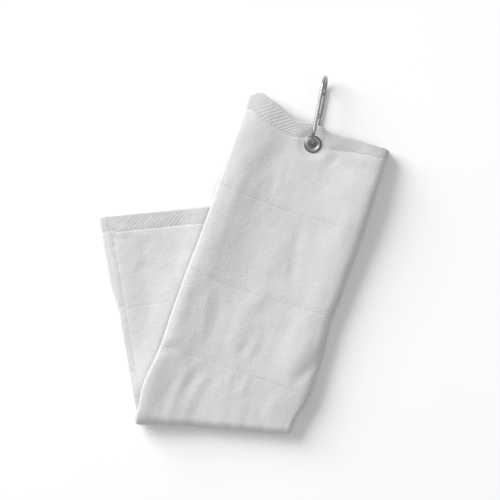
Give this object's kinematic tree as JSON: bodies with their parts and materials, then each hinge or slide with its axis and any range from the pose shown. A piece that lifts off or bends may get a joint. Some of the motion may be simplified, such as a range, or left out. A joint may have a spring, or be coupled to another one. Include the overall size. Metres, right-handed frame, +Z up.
{
  "type": "golf towel",
  "caption": "White velour golf towel folded in three and once across, with a metal grommet and a spring-gate hook for clipping to a bag.",
  "frame": {"origin": "bottom centre of the bounding box, on the resting surface", "axes": "+Z up from the resting surface, +Y from the cross fold towards the grommet and hook, +X to the right of +Y seen from above"},
  "size_m": [0.2412, 0.3006, 0.0254],
  "materials": {
    "lower_cloth": "matte",
    "half_fold_bend": "matte",
    "bottom_end_hem": "matte",
    "lower_outer_side_hem": "matte",
    "lower_inner_side_hem": "matte",
    "lower_woven_bands": "matte",
    "bottom_hem_thread": "matte",
    "lower_side_hem_thread": "matte",
    "upper_cloth": "matte",
    "top_end_hem": "matte",
    "upper_outer_side_hem": "matte",
    "upper_inner_side_hem": "matte",
    "upper_woven_bands": "matte",
    "top_hem_thread": "matte",
    "upper_side_hem_thread": "matte",
    "grommet_eyelet": "polished",
    "grommet_washer": "polished",
    "hook_body": "polished",
    "gate_hinge_rivet": "satin",
    "hook_gate": "polished",
    "gate_latch_pin": "satin",
    "gate_spring": "satin",
    "spring_plunger": "satin"
  },
  "bodies": {
    "lower_half": {"lower_cloth": "lower_cloth", "half_fold_bend": "half_fold_bend", "bottom_end_hem": "bottom_end_hem", "lower_outer_side_hem": "lower_outer_side_hem", "lower_inner_side_hem": "lower_inner_side_hem", "lower_woven_bands": "lower_woven_bands", "bottom_hem_thread": "bottom_hem_thread", "lower_side_hem_thread": "lower_side_hem_thread"},
    "upper_half": {"upper_cloth": "upper_cloth", "top_end_hem": "top_end_hem", "upper_outer_side_hem": "upper_outer_side_hem", "upper_inner_side_hem": "upper_inner_side_hem", "upper_woven_bands": "upper_woven_bands", "top_hem_thread": "top_hem_thread", "upper_side_hem_thread": "upper_side_hem_thread"},
    "grommet": {"grommet_eyelet": "grommet_eyelet", "grommet_washer": "grommet_washer"},
    "hook": {"hook_body": "hook_body", "gate_hinge_rivet": "gate_hinge_rivet"},
    "gate": {"hook_gate": "hook_gate", "gate_latch_pin": "gate_latch_pin", "gate_spring": "gate_spring"},
    "plunger": {"spring_plunger": "spring_plunger"}
  },
  "joints": [
    {"name": "half_fold", "type": "hinge", "parent": "lower_half", "child": "upper_half", "pos_m": [-0.0269, -0.13686, 0.0081], "axis": [0.9963, -0.0863, 0], "range_deg": [0, 175], "deforming": ["half_fold_bend"]},
    {"name": "grommet_swing", "type": "hinge", "parent": "upper_half", "child": "grommet", "pos_m": [0.05545, 0.09313, 0.0126], "axis": [0, 0, 1], "range_deg": [-52, 34]},
    {"name": "hook_tilt", "type": "hinge", "parent": "grommet", "child": "hook", "pos_m": [0.05545, 0.09313, 0.0126], "axis": [0.9743, -0.1894, 0.1219], "range_deg": [-9, 9]},
    {"name": "gate_open", "type": "hinge", "parent": "hook", "child": "gate", "pos_m": [0.06155, 0.11751, 0.00198], "axis": [0.9743, -0.1894, 0.1219], "range_deg": [0, 25], "stiffness_Nm_per_rad": 0.02, "springref_deg": -11.46},
    {"name": "plunger_slide", "type": "slide", "parent": "gate", "child": "plunger", "axis": [0.1908, 0.9816, 0], "range_m": [0, 0.0005], "deforming": ["gate_spring"]}
  ],
  "couplings": [
    {"joint": "plunger_slide", "follows": "gate_open", "m_per_rad": 0.001}
  ]
}
